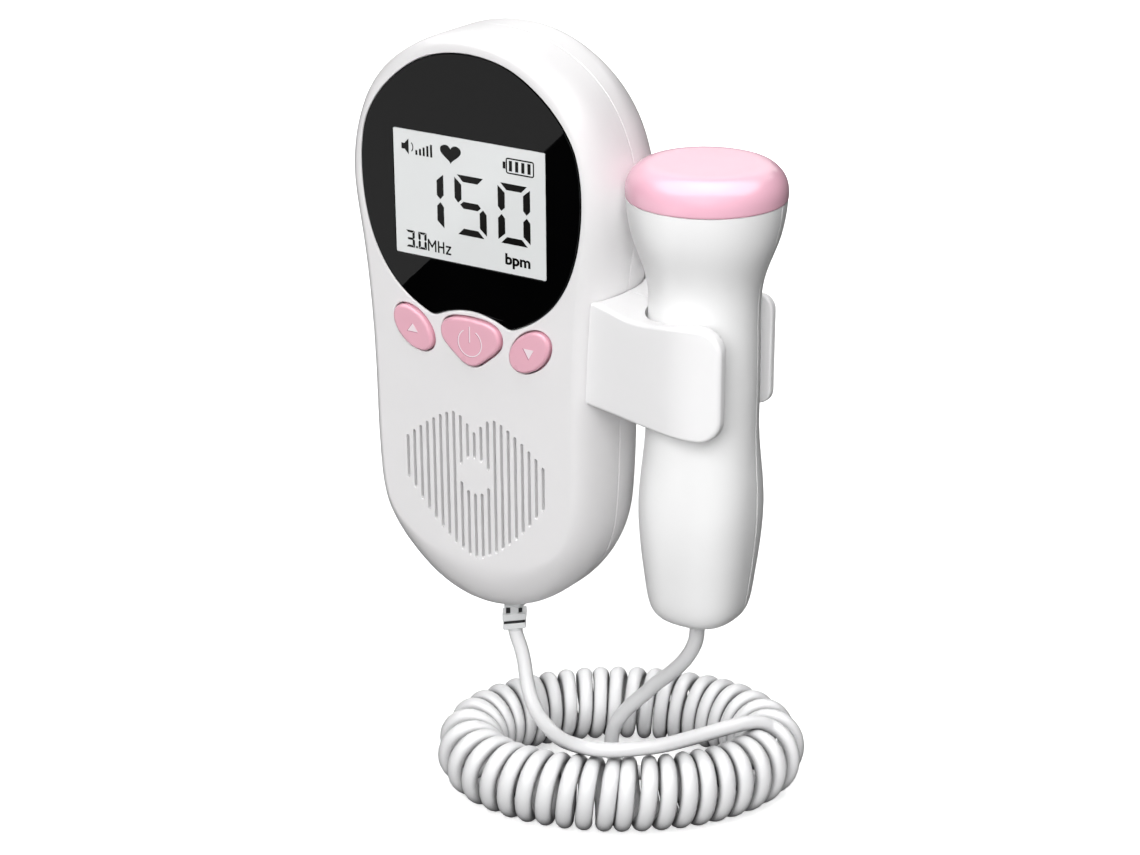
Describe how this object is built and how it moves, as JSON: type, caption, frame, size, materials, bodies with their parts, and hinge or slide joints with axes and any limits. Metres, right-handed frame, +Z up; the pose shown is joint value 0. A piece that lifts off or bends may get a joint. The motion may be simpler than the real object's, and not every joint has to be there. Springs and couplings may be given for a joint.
{
  "type": "fetal doppler",
  "caption": "Handheld fetal heartbeat doppler: rounded display and speaker unit, pen-shaped ultrasound probe parked in a side clip, and a curly cord lying in a ring below.",
  "frame": {"origin": "on the unit's flat back, on its centreline, 13 mm above the battery door", "axes": "+Z up the unit towards the display end, +Y out of the flat back, -Y out of the display, +X towards the probe in its side clip"},
  "size_m": [0.1031, 0.0684, 0.1755],
  "materials": {
    "shell_white": "white moulded ABS, smooth semi-gloss",
    "pink_gloss": "light pink moulded plastic, glossy",
    "window_black": "black printed acrylic, polished",
    "lcd_grey": "light grey liquid crystal display behind clear acrylic",
    "diffuser": "milky light guide",
    "board_green": "green solder mask",
    "steel": "zinc plated",
    "silicone": "translucent silicone keypad",
    "speaker_metal": "dark pressed metal",
    "speaker_paper": "black paper cone",
    "cell_jacket": "plain printed steel can",
    "nickel": "nickel plated spring steel",
    "dark_plastic": "black moulded socket",
    "piezo": "piezoelectric ceramic with a fired electrode",
    "backing": "filled damping resin",
    "brass_shield": "thin brass screening cup",
    "relief_grey": "soft moulded strain relief",
    "plug_clear": "translucent clear modular plug",
    "cord_white": "white flexible cable jacket, satin"
  },
  "bodies": {
    "unit": {"front_shell": "shell_white", "rear_shell": "shell_white", "display_window": "window_black", "lcd_panel": "lcd_grey", "lcd_backlight": "diffuser", "main_pcb": "board_green", "pcb_screw_1": "steel", "pcb_screw_2": "steel", "keypad_mat": "silicone", "speaker_frame": "speaker_metal", "speaker_cone": "speaker_paper", "speaker_magnet": "steel", "battery_1": "cell_jacket", "battery_2": "cell_jacket", "contact_bridge": "nickel", "contact_spring_1": "nickel", "contact_spring_2": "nickel", "contact_plate_1": "nickel", "contact_plate_2": "nickel", "cord_socket": "dark_plastic", "earphone_jack": "dark_plastic", "case_screw_1": "steel", "case_screw_2": "steel", "case_screw_3": "steel", "case_screw_4": "steel", "probe_clip": "shell_white", "coiled_cord": "cord_white", "plug_cord_tail": "cord_white", "probe_cord_tail": "cord_white"},
    "up_key": {"up_button": "pink_gloss"},
    "power_key": {"power_button": "pink_gloss"},
    "down_key": {"down_button": "pink_gloss"},
    "probe": {"probe_front_shell": "shell_white", "probe_rear_shell": "shell_white", "probe_cap": "pink_gloss", "crystal_transmit": "piezo", "crystal_receive": "piezo", "crystal_backing": "backing", "probe_shield": "brass_shield", "probe_pcb": "board_green", "probe_strain_relief": "relief_grey"},
    "door": {"battery_door": "shell_white"},
    "plug": {"cord_plug": "plug_clear"}
  },
  "joints": [
    {"name": "up_press", "type": "slide", "parent": "unit", "child": "up_key", "axis": [0, 1, 0], "range_m": [0, 0.0007], "stiffness_N_per_m": 1500},
    {"name": "power_press", "type": "slide", "parent": "unit", "child": "power_key", "axis": [0, 1, 0], "range_m": [0, 0.0007], "stiffness_N_per_m": 1500},
    {"name": "down_press", "type": "slide", "parent": "unit", "child": "down_key", "axis": [0, 1, 0], "range_m": [0, 0.0007], "stiffness_N_per_m": 1500},
    {"name": "probe_pull", "type": "slide", "parent": "unit", "child": "probe", "axis": [1, 0, 0], "range_m": [0, 0.04], "deforming": ["probe_cord_tail"]},
    {"name": "battery_door_swing", "type": "hinge", "parent": "unit", "child": "door", "pos_m": [0, 0, -0.0759], "axis": [-1, 0, 0], "range_deg": [0, 60]},
    {"name": "plug_pull", "type": "slide", "parent": "unit", "child": "plug", "axis": [0, 0, -1], "range_m": [0, 0.012], "deforming": ["plug_cord_tail"]}
  ]
}
